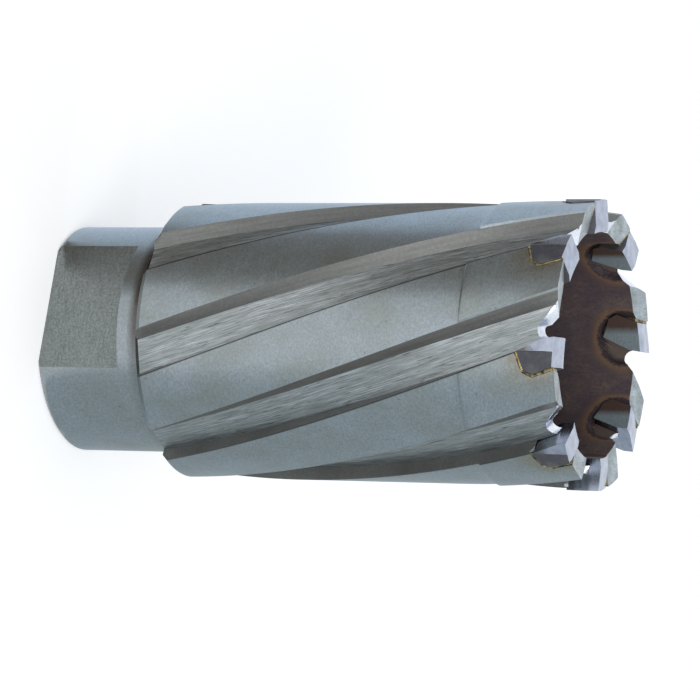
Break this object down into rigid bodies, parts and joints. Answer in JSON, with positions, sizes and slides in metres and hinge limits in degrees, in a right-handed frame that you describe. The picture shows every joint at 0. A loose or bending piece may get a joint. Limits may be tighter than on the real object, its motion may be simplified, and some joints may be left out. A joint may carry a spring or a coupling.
{
  "type": "annular cutter",
  "caption": "Hollow hole-cutting tool: fluted steel body with brazed carbide teeth and a short shank with wrench flats.",
  "frame": {"origin": "centre of the shank's back face, which the cutter stands on", "axes": "+Z along the cutter's axis, from the shank to the teeth; the wrench flats face azimuths 250 and 70 degrees"},
  "size_m": [0.035, 0.035, 0.069],
  "materials": {
    "body_steel": "ground and blasted satin",
    "carbide": "sintered, with ground cutting faces",
    "braze": "dull filler metal"
  },
  "bodies": {
    "root": {"cutter_body": "body_steel", "carbide_tip_1": "carbide", "carbide_tip_2": "carbide", "carbide_tip_3": "carbide", "carbide_tip_4": "carbide", "carbide_tip_5": "carbide", "carbide_tip_6": "carbide", "carbide_tip_7": "carbide", "carbide_tip_8": "carbide", "braze_seam_1": "braze", "braze_seam_2": "braze", "braze_seam_3": "braze", "braze_seam_4": "braze", "braze_seam_5": "braze", "braze_seam_6": "braze", "braze_seam_7": "braze", "braze_seam_8": "braze"}
  },
  "joints": []
}
